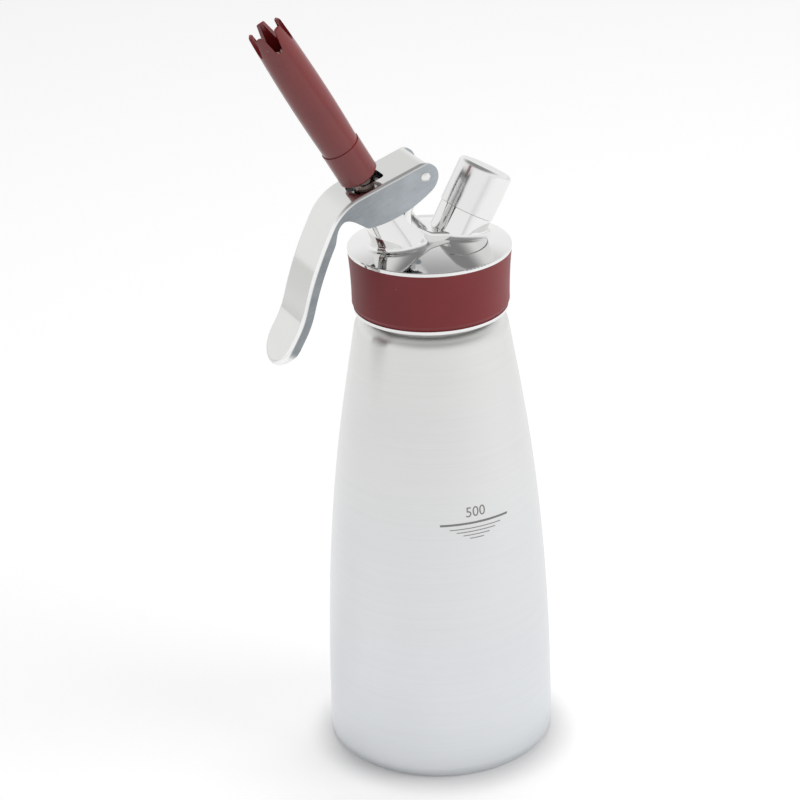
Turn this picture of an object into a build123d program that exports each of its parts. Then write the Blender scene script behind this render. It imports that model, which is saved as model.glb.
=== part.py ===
from build123d import *
import math
import os

# Whipped cream dispenser, in millimetres. The origin is the centre of the bottle's foot, on the
# surface that it stands on, with +Z up. The lever hangs on the -X side and the gas charger's
# socket, closed by its cap, leans to +X. Everything on the head is symmetric about the XZ plane.

# ---------------------------------------------------------------- clearances
snug = 0.05  # radial gap between pieces that are screwed or pressed together
slip = 0.05  # radial gap of a shaft that turns or slides in its bore
face_gap = 0.1  # between two faces that meet when the dispenser is closed
seam = 0.15  # visible joint line between two turned pieces
swing_gap = 0.4  # between pieces that pass each other
overcut = 1.0  # how far a cut starts outside the material

# ---------------------------------------------------------------- bottle
bottle_radius = 41.0
bottle_wall = 1.0
foot_corner_width = 2.5
foot_corner_height = 4.1
foot_ring_width = 5.5
foot_recess = 2.0
belly_height = 60.0
belly_draw = 1.4  # how much slimmer the bottle is there than at its foot
waist_height = 120.0
waist_reach = 6.7  # how much wider it is there than at the shoulder
shoulder_height = 161.8  # where the flank ends and the shoulder's round begins
shoulder_taper = 9.4  # lean of the flank at that place, in degrees
shoulder_reach = 5.5  # how far the shoulder stands out from the neck
shoulder_ledge = 0.3  # flat part between its round and the neck
neck_radius = 21.8
neck_wall = 1.8
mouth_round = 0.5
thread_depth = 0.9
thread_pitch = 3.0
thread_turns = 3
thread_foot = 1.5  # width of a thread ridge where it stands on the neck
thread_crest = 0.6
first_ridge_below_mouth = 4.0

# ---------------------------------------------------------------- head
rim_gap = 2.4  # between the bottle's shoulder and the head's rim
rim_height = 1.1
rim_reach = 1.35  # how far the rim stands out from the skirt
skirt_wall = 1.85  # outside the thread's grooves
groove_play = 0.8  # how much wider a groove is than the ridge in it
band_height = 20.8
band_thickness = 2.8
band_taper = 1.0  # how much slimmer the band is at its foot
band_foot_turn = 0.9
band_foot_height = 1.8
band_hollow_radius = 160.0  # the band's flank is slightly hollow
disc_edge = 1.3
disc_round = 0.45
disc_crown = 3.6  # how far the middle of the disc stands above its edge
roof_drop = 6.0  # from the disc's underside down to the roof of the thread chamber
gasket_thickness = 2.1
gasket_width = 4.4
gasket_tab_width = 7.0
gasket_tab_reach = 3.5

# ---------------------------------------------------------------- axes of the head
lean = 29.5  # both tilted axes lean this much from the vertical, in degrees
axes_drop = 15.8  # from the disc's edge down to where they cross

# Valve side; a distance along the valve's axis starts where the axes meet.
boss_top = 36.0
boss_low = 22.0
boss_low_radius = 9.9
boss_wall = 1.3  # around the guide
valve_seat = 15.0
seat_width = 2.6
seal_room = 0.9  # between the seal and its pocket
flow_gap = 0.95  # around the stem below the guide, for the cream
guide_depth = 8.0
guide_floor = 3.0
guide_wall = 0.8
guide_flange = 1.2
guide_flange_reach = 1.1
stem_radius = 3.65
stem_neck_radius = 2.6
stem_bore_radius = 2.2
port_bore_radius = 1.6
port_radius = 1.1
port_above_seat = 5.2
o_ring_wire = 0.72  # half of the ring's thickness
o_ring_below_guide = 2.4
seal_thickness = 2.2
seal_bevel = 0.5
plate_thickness = 1.2
nut_height = 1.9
nut_across = 7.0
stem_foot_proud = 1.0
spring_wire = 0.8
spring_play = 0.45
spring_turns = 6
collar_rise = 1.9  # from the lugs' middle up to the collar's top
lug_radius = 3.0
stem_thread_rise = 7.0  # from the lugs' middle up to the foot of the stem's thread
stem_thread_radius = 3.2
stem_thread_depth = 0.4
stem_thread_length = 9.6
stem_ridges = 4
stem_pitch = 1.9
stem_ridge_foot = 1.1
stem_crest = 0.4
first_stem_ridge = 1.6

# Decorator tip
tip_gap = 0.3  # between the stem's shoulder and the tip
tip_length = 64.9
tip_collar_radius = 7.0
tip_collar_length = 13.5
tip_collar_bevel = 0.7
tip_step = 0.35
tip_belly_radius = 6.97
tip_belly_rise = 32.0  # from the tip's foot up to the widest place of its body
tip_rim_radius = 6.1
tip_rim_wall = 1.3
tip_rim_round = 0.6
tip_shoulder = 1.2
insert_wall = 0.9
slit_count = 5
slit_depth = 7.5
slit_foot_width = 2.6
slit_rim_width = 4.4
slit_turn = -99.0  # where the first slit points around the axis, in degrees
petal_round = 1.2
petal_overshoot = 0.6

# Charger side; a distance along its axis starts where the axes meet.
socket_top = 29.5
socket_step = 0.3  # how much slimmer the socket is than the cap on it
spigot_radius = 7.7
spigot_wall = 2.1
spigot_length = 12.1
spigot_ridge = 0.5
spigot_pitch = 2.6
spigot_ridge_foot = 1.4
spigot_ridges = 3
first_spigot_ridge = 1.8
charger_bore_below = 2.5  # how far the charger's bore reaches below the socket's top
pin_seat_radius = 3.0
pin_seat_depth = 7.4
gas_channel_radius = 1.2
filter_thickness = 1.3
needle_radius = 1.25
needle_rise = 9.0  # above the floor of the charger's bore
needle_point = 3.0
needle_bore = 0.45
pin_flange = 1.6
seal_play = 0.35
charger_seal_thickness = 2.4
thread_play = 0.25  # the cap's thread runs over the spigot's with this much room
cap_wall = 1.35
cap_top = 1.6
cap_round = 1.7
cap_relief = 0.15
liner_gap = 0.45
liner_thickness = 2.4
check_pocket_radius = 4.6
check_disc_thickness = 0.9
check_disc_play = 0.9
check_lift = 0.4
check_cover_thickness = 1.5
check_cover_holes = 6
check_cover_ring = 2.6
check_cover_hole = 0.6

# Web between the two bosses, and the bracket that carries the lever's pin
web_half_width = 7.4
web_edge_round = 1.0
web_sink = 2.0  # how deep the web reaches below the disc's edge
boss_sink = 8.0
root_round = 2.0  # where web, boss and socket stand on the crown
bracket_foot_x = -12.5
bracket_waist_x = -9.6
bracket_waist_rise = 15.2  # above the disc's edge
bracket_waist_height = 4.0
valley_x = -2.5
valley_rise = 6.8  # above the disc's edge
valley_fall = 2.0
valley_round = 3.0
socket_side_x = 8.0
pivot_x = -5.4
pivot_rise = 28.4  # above the disc's edge
pivot_lug_radius = 3.0
pivot_pin_radius = 1.3
pivot_head_radius = 1.7
pivot_head_height = 0.6

# ---------------------------------------------------------------- lever
lever_wall = 1.4
cheek_gap = 1.2  # between the bracket and the lever's cheeks
lever_crease = 1.5  # radius of the outside edge between front and cheeks
plate_slope = 18.7  # the top plate falls this much towards the handle, in degrees
plate_above_pivot = 4.85
plate_run = 23.8  # from above the pivot to the start of the knee
plate_lip = 2.0  # how far the plate reaches past the pivot
knee_radius = 19.6
knee_turn = 45.0
grip_run = 5.0
bow_radius = 123.0
bow_turn = 11.5
kick_radius = 31.7
kick_turn = 15.6
grip_tail = 13.8
flange_depth = 3.6
flange_end_depth = 1.3  # the flange gets shallower round the handle's end
flange_fade = 8.0  # over this length
# The lower edge of the cheeks: distance along the plate and drop below its top.
cheek_throat = (0.7, 10.9)
cheek_rise = (8.1, 12.7)
cheek_belly = (18.9, 13.0)
cheek_turn = -15.0  # where that edge runs into the round nose, in degrees
# The arch under the knee: distance past the knee's start and drop below the plate's top.
arch_corner = (1.7, 11.6)
arch_corner_round = 2.0
arch_end = (3.4, 9.4)
arch_crown = (8.5, 5.3)
arch_flank = (11.9, 7.3)
window_play = 0.4  # beside the stem
window_reach = 6.7  # from the valve's axis, both towards the handle and the pivot
window_corner = 1.6

# ---------------------------------------------------------------- derived values
lean_sin = math.sin(math.radians(lean))
lean_cos = math.cos(math.radians(lean))
taper_sin = math.sin(math.radians(shoulder_taper))
taper_cos = math.cos(math.radians(shoulder_taper))
shoulder_radius = neck_radius + shoulder_reach
shoulder_round = (shoulder_reach - shoulder_ledge) / taper_cos
shoulder_top = shoulder_height + shoulder_round * (1 - taper_sin)
rim_bottom = shoulder_top + rim_gap
rim_top = rim_bottom + rim_height
disc_bottom = rim_top + band_height
disc_top = disc_bottom + disc_edge
roof = disc_bottom - roof_drop
neck_top = roof - gasket_thickness - face_gap
crest_radius = neck_radius + thread_depth
skirt_bore_radius = crest_radius + swing_gap
groove_radius = skirt_bore_radius + thread_depth
skirt_radius = groove_radius + skirt_wall
rim_radius = skirt_radius + rim_reach
band_bore_radius = skirt_radius + snug
disc_radius = band_bore_radius + band_thickness

axes_meet = disc_top - axes_drop
meeting_point = Vector(0, 0, axes_meet)
valve_direction = Vector(-lean_sin, 0, lean_cos)
charger_direction = Vector(lean_sin, 0, lean_cos)
valve_axis = Axis(meeting_point, valve_direction)
charger_axis = Axis(meeting_point, charger_direction)
# Section planes: x is the distance from the axis, y the distance along it.
valve_section = Plane(meeting_point, x_dir=(lean_cos, 0, lean_sin), z_dir=(0, -1, 0))
charger_section = Plane(meeting_point, x_dir=(lean_cos, 0, -lean_sin), z_dir=(0, -1, 0))

pivot_z = disc_top + pivot_rise
pivot = Vector(pivot_x, 0, pivot_z)
pivot_bore_radius = pivot_pin_radius + slip
lever_inner_half = web_half_width + cheek_gap
lever_half_width = lever_inner_half + lever_wall
plate_sin = math.sin(math.radians(plate_slope))
plate_cos = math.cos(math.radians(plate_slope))
plate_along = Vector(-plate_cos, 0, -plate_sin)
plate_up = Vector(-plate_sin, 0, plate_cos)

guide_seat = boss_top - guide_depth
guide_top = boss_top + guide_flange
spring_coil_radius = stem_radius + spring_play + spring_wire / 2
spring_outer_radius = spring_coil_radius + spring_wire / 2
spring_pocket_radius = spring_outer_radius + swing_gap
guide_radius = spring_pocket_radius + guide_wall
guide_flange_radius = guide_radius + guide_flange_reach
boss_top_radius = guide_radius + boss_wall
o_ring_bore_radius = stem_radius + flow_gap
valve_pocket_radius = o_ring_bore_radius + seat_width
seal_radius = valve_pocket_radius - seal_room
# The collar's lugs lie against the underside of the lever's plate.
lug_drop = plate_above_pivot - lever_wall - lug_radius - face_gap
lug_reach = lug_drop - pivot_x * plate_sin + (pivot_z - axes_meet) * plate_cos
lug_height = lug_reach / math.cos(math.radians(lean - plate_slope))
collar_radius = spring_outer_radius + face_gap
collar_foot = lug_height - lug_radius - face_gap
collar_top = lug_height + collar_rise
stem_thread_foot = lug_height + stem_thread_rise

cap_thread_radius = spigot_radius + spigot_ridge + thread_play
cap_radius = cap_thread_radius + cap_wall
socket_radius = cap_radius - socket_step
spigot_top = socket_top + spigot_length
charger_bore_radius = spigot_radius - spigot_wall
charger_bore_floor = socket_top - charger_bore_below
pin_seat_floor = charger_bore_floor - pin_seat_depth
gas_channel_x = pin_seat_floor * lean_sin
gas_channel_top = axes_meet + pin_seat_floor * lean_cos + gas_channel_radius


def valve_plane(distance):
    """The plane across the valve's axis at a distance along it; its y is the row's +Y."""
    across = (lean_cos, 0, lean_sin)
    return Plane(meeting_point + valve_direction * distance, x_dir=across, z_dir=valve_direction)


def charger_plane(distance):
    """The plane across the charger's axis at a distance along it; its y is the row's +Y."""
    across = (lean_cos, 0, -lean_sin)
    return Plane(meeting_point + charger_direction * distance, x_dir=across, z_dir=charger_direction)


def section(plane, corners):
    """A closed face through corners, to be revolved."""
    with BuildSketch(plane) as face:
        with BuildLine():
            Polyline(*corners, close=True)
        make_face()
    return face.sketch


def ridge(root, crest, centre, foot, land):
    """The corners of one thread ridge that stands from root to crest about centre."""
    return [
        (root, centre - foot / 2),
        (crest, centre - land / 2),
        (crest, centre + land / 2),
        (root, centre + foot / 2),
    ]


os.makedirs("parts", exist_ok=True)


# ---------------------------------------------------------------- bottle
ring_inner_radius = bottle_radius - foot_corner_width - foot_ring_width
floor_radius = ring_inner_radius - foot_recess
belly_radius = bottle_radius - belly_draw
waist_radius = shoulder_radius + waist_reach
neck_bore_radius = neck_radius - neck_wall

with BuildPart() as bottle:
    with BuildSketch(Plane.XZ):
        with BuildLine():
            corner = EllipticalCenterArc(
                (bottle_radius - foot_corner_width, foot_corner_height),
                foot_corner_width,
                foot_corner_height,
                start_angle=270,
                arc_size=90,
            )
            flank = Spline(
                corner @ 1,
                (belly_radius, belly_height),
                (waist_radius, waist_height),
                (shoulder_radius, shoulder_height),
                tangents=[(0, 1), (-taper_sin, taper_cos)],
            )
            shoulder = JernArc(flank @ 1, flank % 1, shoulder_round, 90 - shoulder_taper)
            Polyline(
                shoulder @ 1,
                (neck_radius, (shoulder @ 1).Y),
                (neck_radius, neck_top),
                (0, neck_top),
                (0, foot_recess),
                (floor_radius, foot_recess),
                (ring_inner_radius, 0),
                corner @ 0,
            )
        make_face()
    revolve(axis=Axis.Z)
    # The bore follows the outside, one wall further in.
    with BuildSketch(Plane.XZ):
        with BuildLine():
            inner_corner = EllipticalCenterArc(
                (bottle_radius - foot_corner_width, foot_corner_height),
                foot_corner_width - bottle_wall,
                foot_corner_height - bottle_wall,
                start_angle=270,
                arc_size=90,
            )
            inner_flank = Spline(
                inner_corner @ 1,
                (belly_radius - bottle_wall, belly_height),
                (waist_radius - bottle_wall, waist_height),
                (shoulder_radius - bottle_wall, shoulder_height),
                tangents=[(0, 1), (-taper_sin, taper_cos)],
            )
            inner_shoulder = JernArc(
                inner_flank @ 1, inner_flank % 1, shoulder_round - bottle_wall, 90 - shoulder_taper
            )
            Polyline(
                inner_shoulder @ 1,
                (neck_bore_radius, (inner_shoulder @ 1).Y),
                (neck_bore_radius, neck_top + overcut),
                (0, neck_top + overcut),
                (0, foot_recess + bottle_wall),
                (floor_radius, foot_recess + bottle_wall),
                (ring_inner_radius, bottle_wall),
                inner_corner @ 0,
            )
        make_face()
    revolve(axis=Axis.Z, mode=Mode.SUBTRACT)
    mouth_edges = bottle.edges().filter_by(GeomType.CIRCLE).group_by(Axis.Z)[-1]
    fillet(mouth_edges, mouth_round)
    for turn in range(thread_turns):
        ridge_height = neck_top - first_ridge_below_mouth - turn * thread_pitch
        corners = ridge(neck_radius - snug, crest_radius, ridge_height, thread_foot, thread_crest)
        revolve(section(Plane.XZ, corners), axis=Axis.Z)

bottle.part.label = "bottle"
export_step(bottle.part, "parts/bottle.step")


# ---------------------------------------------------------------- head
crown_top = disc_top + disc_crown
cover_foot = roof + face_gap
cover_top = cover_foot + check_cover_thickness
check_pocket_top = cover_top + face_gap + check_disc_thickness + check_lift
web_root = disc_top - web_sink
boss_root = boss_low - boss_sink
waist_foot_z = disc_top + bracket_waist_rise - bracket_waist_height
waist_head_z = disc_top + bracket_waist_rise
valley_z = disc_top + valley_rise

with BuildPart() as head_body:
    # Web from the bracket's foot to the charger socket, with the bracket leaning over the valley
    with BuildSketch(Plane.XZ) as web:
        with BuildLine():
            lug_left = (pivot_x - pivot_lug_radius, pivot_z)
            lug_right = (pivot_x + pivot_lug_radius, pivot_z)
            RadiusArc(lug_left, lug_right, pivot_lug_radius)
            Polyline(
                lug_left,
                (bracket_foot_x, waist_head_z),
                (bracket_foot_x, web_root),
                (socket_side_x, web_root),
                (socket_side_x, valley_z - valley_fall),
                (valley_x, valley_z),
                (bracket_waist_x, waist_foot_z),
                (bracket_waist_x, waist_head_z),
                lug_right,
            )
        make_face()
        # In the sketch's own frame the height is its y.
        valley_corners = web.vertices().filter_by_position(Axis.X, bracket_waist_x, valley_x)
        fillet(valley_corners, valley_round)
    extrude(amount=web_half_width, both=True)
    web_cheeks = head_body.faces().filter_by(Axis.Y)
    fillet(web_cheeks.edges(), web_edge_round)
    # Valve boss
    corners = [
        (0, boss_root),
        (boss_low_radius, boss_root),
        (boss_low_radius, boss_low),
        (boss_top_radius, boss_top),
        (0, boss_top),
    ]
    revolve(section(valve_section, corners), axis=valve_axis)
    # Charger socket with its threaded spigot
    corners = [
        (0, boss_root),
        (socket_radius, boss_root),
        (socket_radius, socket_top),
        (spigot_radius, socket_top),
        (spigot_radius, spigot_top),
        (0, spigot_top),
    ]
    revolve(section(charger_section, corners), axis=charger_axis)
    # Skirt, disc and its gently crowned top
    with BuildSketch(Plane.XZ):
        with BuildLine():
            Polyline(
                (0, crown_top),
                (0, rim_bottom),
                (rim_radius, rim_bottom),
                (rim_radius, rim_top),
                (skirt_radius, rim_top),
                (skirt_radius, disc_bottom),
                (disc_radius, disc_bottom),
                (disc_radius, disc_top - disc_round),
            )
            crown_edge = (disc_radius - disc_round, disc_top)
            RadiusArc((disc_radius, disc_top - disc_round), crown_edge, -disc_round)
            TangentArc((0, crown_top), crown_edge, tangent=(1, 0))
        make_face()
    revolve(axis=Axis.Z)
    # Everything that stands on the crown flows into it.
    crown = head_body.faces().filter_by(GeomType.SPHERE).sort_by(SortBy.AREA)[-1]
    rooted = crown.edges().filter_by(GeomType.CIRCLE, reverse=True)
    fillet(rooted, root_round)

    for turn in range(spigot_ridges):
        ridge_height = spigot_top - first_spigot_ridge - turn * spigot_pitch
        crest = spigot_radius + spigot_ridge
        corners = ridge(spigot_radius - snug, crest, ridge_height, spigot_ridge_foot, thread_crest)
        revolve(section(charger_section, corners), axis=charger_axis)
    # Thread chamber for the bottle's neck, gasket seat above it
    with BuildSketch(Plane.XZ):
        with BuildLine():
            Polyline(
                (0, rim_bottom - overcut),
                (skirt_bore_radius, rim_bottom - overcut),
                (skirt_bore_radius, roof),
                (0, roof),
                close=True,
            )
        make_face()
    revolve(axis=Axis.Z, mode=Mode.SUBTRACT)
    for turn in range(thread_turns):
        groove_height = neck_top - first_ridge_below_mouth - turn * thread_pitch
        groove_foot = thread_foot + groove_play
        corners = ridge(
            skirt_bore_radius - snug, groove_radius, groove_height, groove_foot, thread_foot
        )
        revolve(section(Plane.XZ, corners), axis=Axis.Z, mode=Mode.SUBTRACT)
    # Valve: pocket with the seat, stem bore, counterbore for the guide
    corners = [
        (0, 0),
        (valve_pocket_radius, 0),
        (valve_pocket_radius, valve_seat),
        (o_ring_bore_radius, valve_seat),
        (o_ring_bore_radius, guide_seat),
        (guide_radius + snug, guide_seat),
        (guide_radius + snug, boss_top + overcut),
        (0, boss_top + overcut),
    ]
    revolve(section(valve_section, corners), axis=valve_axis, mode=Mode.SUBTRACT)
    # Charger: mouth, needle seat, then a drilling down to the check valve's pocket
    corners = [
        (0, pin_seat_floor),
        (pin_seat_radius, pin_seat_floor),
        (pin_seat_radius, charger_bore_floor),
        (charger_bore_radius, charger_bore_floor),
        (charger_bore_radius, spigot_top + overcut),
        (0, spigot_top + overcut),
    ]
    revolve(section(charger_section, corners), axis=charger_axis, mode=Mode.SUBTRACT)
    with BuildSketch(Plane.XY.offset(roof - overcut)):
        with Locations((gas_channel_x, 0)):
            Circle(gas_channel_radius)
    extrude(amount=gas_channel_top - roof + overcut, mode=Mode.SUBTRACT)
    with BuildSketch(Plane.XY.offset(roof - overcut)):
        with Locations((gas_channel_x, 0)):
            Circle(check_pocket_radius)
    extrude(amount=check_pocket_top - roof + overcut, mode=Mode.SUBTRACT)
    # Bore for the lever's pin
    with BuildSketch(Plane.XZ):
        with Locations((pivot_x, pivot_z)):
            Circle(pivot_bore_radius)
    extrude(amount=web_half_width + overcut, both=True, mode=Mode.SUBTRACT)

head_body.part.label = "head_body"
export_step(head_body.part, "parts/head_body.step")


# ---------------------------------------------------------------- band and gasket of the head
with BuildPart() as grip_band:
    with BuildSketch(Plane.XZ):
        with BuildLine():
            band_foot = (disc_radius - band_taper, rim_top + band_foot_height)
            band_top = (disc_radius - snug, disc_bottom)
            RadiusArc(band_foot, band_top, band_hollow_radius)
            Polyline(
                band_top,
                (band_bore_radius, disc_bottom),
                (band_bore_radius, rim_top),
                (disc_radius - band_taper - band_foot_turn, rim_top),
                band_foot,
            )
        make_face()
    revolve(axis=Axis.Z)

grip_band.part.label = "grip_band"
export_step(grip_band.part, "parts/grip_band.step")

gasket_radius = skirt_bore_radius - snug
gasket_bore_radius = gasket_radius - gasket_width
with BuildPart() as head_gasket:
    with BuildSketch(Plane.XY.offset(roof - gasket_thickness)):
        Circle(gasket_radius)
        Circle(gasket_bore_radius, mode=Mode.SUBTRACT)
        # Two tabs across from each other to pull it out by
        with PolarLocations(gasket_bore_radius - gasket_tab_reach / 2, 2, start_angle=90):
            SlotCenterToCenter(gasket_tab_reach, gasket_tab_width, rotation=0)
    extrude(amount=gasket_thickness)

head_gasket.part.label = "head_gasket"
export_step(head_gasket.part, "parts/head_gasket.step")


# ---------------------------------------------------------------- valve
seal_top = valve_seat - face_gap
seal_foot = seal_top - seal_thickness
plate_foot = seal_foot - plate_thickness
nut_foot = plate_foot - nut_height
neck_bore = stem_neck_radius + snug
port_height = valve_seat + port_above_seat
o_ring_height = guide_seat - o_ring_below_guide
o_ring_radius = o_ring_bore_radius - slip - o_ring_wire
o_ring_groove_radius = o_ring_radius - o_ring_wire - snug
o_ring_groove_half = o_ring_wire + face_gap
waist_end = o_ring_height - 3 * o_ring_wire
stem_top = stem_thread_foot + stem_thread_length
stem_crest_radius = stem_thread_radius + stem_thread_depth

with BuildPart() as valve_stem:
    corners = [
        (0, nut_foot - stem_foot_proud),
        (stem_neck_radius, nut_foot - stem_foot_proud),
        (stem_neck_radius, waist_end - stem_radius + stem_neck_radius),
        (stem_radius, waist_end),
        (stem_radius, o_ring_height - o_ring_groove_half),
        (o_ring_groove_radius, o_ring_height - o_ring_groove_half),
        (o_ring_groove_radius, o_ring_height + o_ring_groove_half),
        (stem_radius, o_ring_height + o_ring_groove_half),
        (stem_radius, stem_thread_foot),
        (stem_thread_radius, stem_thread_foot),
        (stem_thread_radius, stem_top),
        (0, stem_top),
    ]
    revolve(section(valve_section, corners), axis=valve_axis)
    for turn in range(stem_ridges):
        ridge_height = stem_top - first_stem_ridge - turn * stem_pitch
        root = stem_thread_radius - snug
        corners = ridge(root, stem_crest_radius, ridge_height, stem_ridge_foot, stem_crest)
        revolve(section(valve_section, corners), axis=valve_axis)
    # Bore from the top, narrower down to the cross ports
    corners = [
        (0, port_height),
        (port_bore_radius, port_height),
        (port_bore_radius, waist_end),
        (stem_bore_radius, waist_end + stem_bore_radius - port_bore_radius),
        (stem_bore_radius, stem_top + overcut),
        (0, stem_top + overcut),
    ]
    revolve(section(valve_section, corners), axis=valve_axis, mode=Mode.SUBTRACT)
    across_port = Plane(
        meeting_point + valve_direction * port_height,
        x_dir=valve_direction,
        z_dir=(0, 1, 0),
    )
    along_port = Plane(
        meeting_point + valve_direction * port_height,
        x_dir=valve_direction,
        z_dir=(lean_cos, 0, lean_sin),
    )
    for port in (across_port, along_port):
        with BuildSketch(port):
            Circle(port_radius)
        extrude(amount=stem_radius + overcut, both=True, mode=Mode.SUBTRACT)

valve_stem.part.label = "valve_stem"
export_step(valve_stem.part, "parts/valve_stem.step")

with BuildPart() as valve_seal:
    corners = [
        (neck_bore, seal_foot),
        (seal_radius, seal_foot),
        (seal_radius, seal_top - seal_bevel),
        (seal_radius - seal_bevel, seal_top),
        (neck_bore, seal_top),
    ]
    revolve(section(valve_section, corners), axis=valve_axis)

valve_seal.part.label = "valve_seal"
export_step(valve_seal.part, "parts/valve_seal.step")

with BuildPart() as valve_seal_plate:
    with BuildSketch(valve_plane(plate_foot)):
        Circle(seal_radius - seal_bevel)
        Circle(neck_bore, mode=Mode.SUBTRACT)
    extrude(amount=plate_thickness)

valve_seal_plate.part.label = "valve_seal_plate"
export_step(valve_seal_plate.part, "parts/valve_seal_plate.step")

with BuildPart() as valve_nut:
    with BuildSketch(valve_plane(nut_foot)):
        RegularPolygon(nut_across / 2, 6, major_radius=False)
        Circle(neck_bore, mode=Mode.SUBTRACT)
    extrude(amount=nut_height)

valve_nut.part.label = "valve_nut"
export_step(valve_nut.part, "parts/valve_nut.step")

with BuildPart() as stem_o_ring:
    with BuildSketch(valve_section):
        with Locations((o_ring_radius, o_ring_height)):
            Circle(o_ring_wire)
    revolve(axis=valve_axis)

stem_o_ring.part.label = "stem_o_ring"
export_step(stem_o_ring.part, "parts/stem_o_ring.step")

with BuildPart() as valve_guide:
    corners = [
        (stem_radius + slip, guide_seat),
        (guide_radius, guide_seat),
        (guide_radius, boss_top),
        (guide_flange_radius, boss_top),
        (guide_flange_radius, guide_top),
        (spring_pocket_radius, guide_top),
        (spring_pocket_radius, guide_seat + guide_floor),
        (stem_radius + slip, guide_seat + guide_floor),
    ]
    revolve(section(valve_section, corners), axis=valve_axis)

valve_guide.part.label = "valve_guide"
export_step(valve_guide.part, "parts/valve_guide.step")

# The spring stands on the guide's floor and pushes the collar outwards.
collar_bore_radius = stem_radius + snug
lug_root = (collar_bore_radius + collar_radius) / 2  # the lugs start inside the collar's wall
lug_tip = lever_inner_half - swing_gap
with BuildPart() as valve_collar:
    corners = [
        (collar_bore_radius, collar_foot),
        (collar_radius, collar_foot),
        (collar_radius, collar_top),
        (collar_bore_radius, collar_top),
    ]
    revolve(section(valve_section, corners), axis=valve_axis)
    # The lever's plate pushes these two round lugs.
    for side in (-1, 1):
        lug_plane = Plane(
            meeting_point + valve_direction * lug_height + Vector(0, side * lug_root, 0),
            x_dir=(lean_cos, 0, lean_sin),
            z_dir=(0, side, 0),
        )
        with BuildSketch(lug_plane):
            Circle(lug_radius)
        extrude(amount=lug_tip - lug_root)

valve_collar.part.label = "valve_collar"
export_step(valve_collar.part, "parts/valve_collar.step")

spring_foot = guide_seat + guide_floor + face_gap + spring_wire / 2
spring_head = collar_foot - face_gap - spring_wire / 2
spring_rise = spring_head - spring_foot
spring_pitch = spring_rise / spring_turns
with BuildPart() as valve_spring:
    with BuildLine():
        coil = Helix(
            pitch=spring_pitch,
            height=spring_rise,
            radius=spring_coil_radius,
            center=meeting_point + valve_direction * spring_foot,
            direction=valve_direction,
        )
    with BuildSketch(Plane(coil @ 0, z_dir=coil % 0)):
        Circle(spring_wire / 2)
    sweep(is_frenet=True)

valve_spring.part.label = "valve_spring"
export_step(valve_spring.part, "parts/valve_spring.step")


# ---------------------------------------------------------------- decorator tip
tip_foot = stem_thread_foot + tip_gap
tip_top = tip_foot + tip_length
tip_body_radius = tip_collar_radius - tip_step
insert_bore_radius = stem_crest_radius + slip
insert_radius = insert_bore_radius + insert_wall
insert_foot = tip_foot + face_gap
insert_length = stem_thread_length - tip_gap
tip_seat = insert_foot + insert_length + face_gap
tip_bore_radius = tip_rim_radius - tip_rim_wall
foot_half = slit_foot_width / 2
rim_half = slit_rim_width / 2
petal_half = rim_half + petal_round
petal_bend = petal_round + petal_overshoot

with BuildPart() as decorator_tip:
    with BuildSketch(valve_section):
        with BuildLine():
            body_foot = (tip_body_radius, tip_foot + tip_collar_length)
            body_belly = (tip_belly_radius, tip_foot + tip_belly_rise)
            ThreePointArc(body_foot, body_belly, (tip_rim_radius, tip_top))
            Polyline(
                (tip_rim_radius, tip_top),
                (tip_bore_radius, tip_top),
                (tip_bore_radius, tip_seat + tip_shoulder),
                (insert_bore_radius, tip_seat),
                (insert_radius + snug, tip_seat),
                (insert_radius + snug, tip_foot),
                (tip_collar_radius - tip_collar_bevel, tip_foot),
                (tip_collar_radius, tip_foot + tip_collar_bevel),
                (tip_collar_radius, tip_foot + tip_collar_length),
                body_foot,
            )
        make_face()
    revolve(axis=valve_axis)
    rim_edges = decorator_tip.edges().filter_by(GeomType.CIRCLE).group_by(valve_axis)[-1]
    fillet(rim_edges, tip_rim_round)
    # Slits between the petals
    for slit in range(slit_count):
        turn = slit_turn + slit * 360 / slit_count
        outwards = Vector(lean_cos, 0, lean_sin).rotate(valve_axis, turn)
        slit_plane = Plane(
            meeting_point + valve_direction * tip_top,
            x_dir=valve_direction.cross(outwards),
            z_dir=outwards,
        )
        with BuildSketch(slit_plane):
            with BuildLine():
                foot_left = (-foot_half, foot_half - slit_depth)
                foot_right = (foot_half, foot_half - slit_depth)
                RadiusArc(foot_left, foot_right, -foot_half)
                Line(foot_right, (rim_half, -petal_round))
                RadiusArc((rim_half, -petal_round), (petal_half, petal_overshoot), petal_bend)
                Line((petal_half, petal_overshoot), (-petal_half, petal_overshoot))
                RadiusArc((-petal_half, petal_overshoot), (-rim_half, -petal_round), petal_bend)
                Line((-rim_half, -petal_round), foot_left)
            make_face()
        extrude(amount=tip_collar_radius + overcut, mode=Mode.SUBTRACT)

decorator_tip.part.label = "decorator_tip"
export_step(decorator_tip.part, "parts/decorator_tip.step")

with BuildPart() as tip_thread_insert:
    corners = [
        (insert_bore_radius, insert_foot),
        (insert_radius, insert_foot),
        (insert_radius, insert_foot + insert_length),
        (insert_bore_radius, insert_foot + insert_length),
    ]
    revolve(section(valve_section, corners), axis=valve_axis)

tip_thread_insert.part.label = "tip_thread_insert"
export_step(tip_thread_insert.part, "parts/tip_thread_insert.step")


# ---------------------------------------------------------------- charger side
flange_foot = charger_bore_floor + face_gap
needle_top = charger_bore_floor + needle_rise
flange_top = flange_foot + pin_flange
filter_foot = pin_seat_floor + face_gap
filter_top = filter_foot + filter_thickness
needle_foot = filter_top + face_gap

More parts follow.
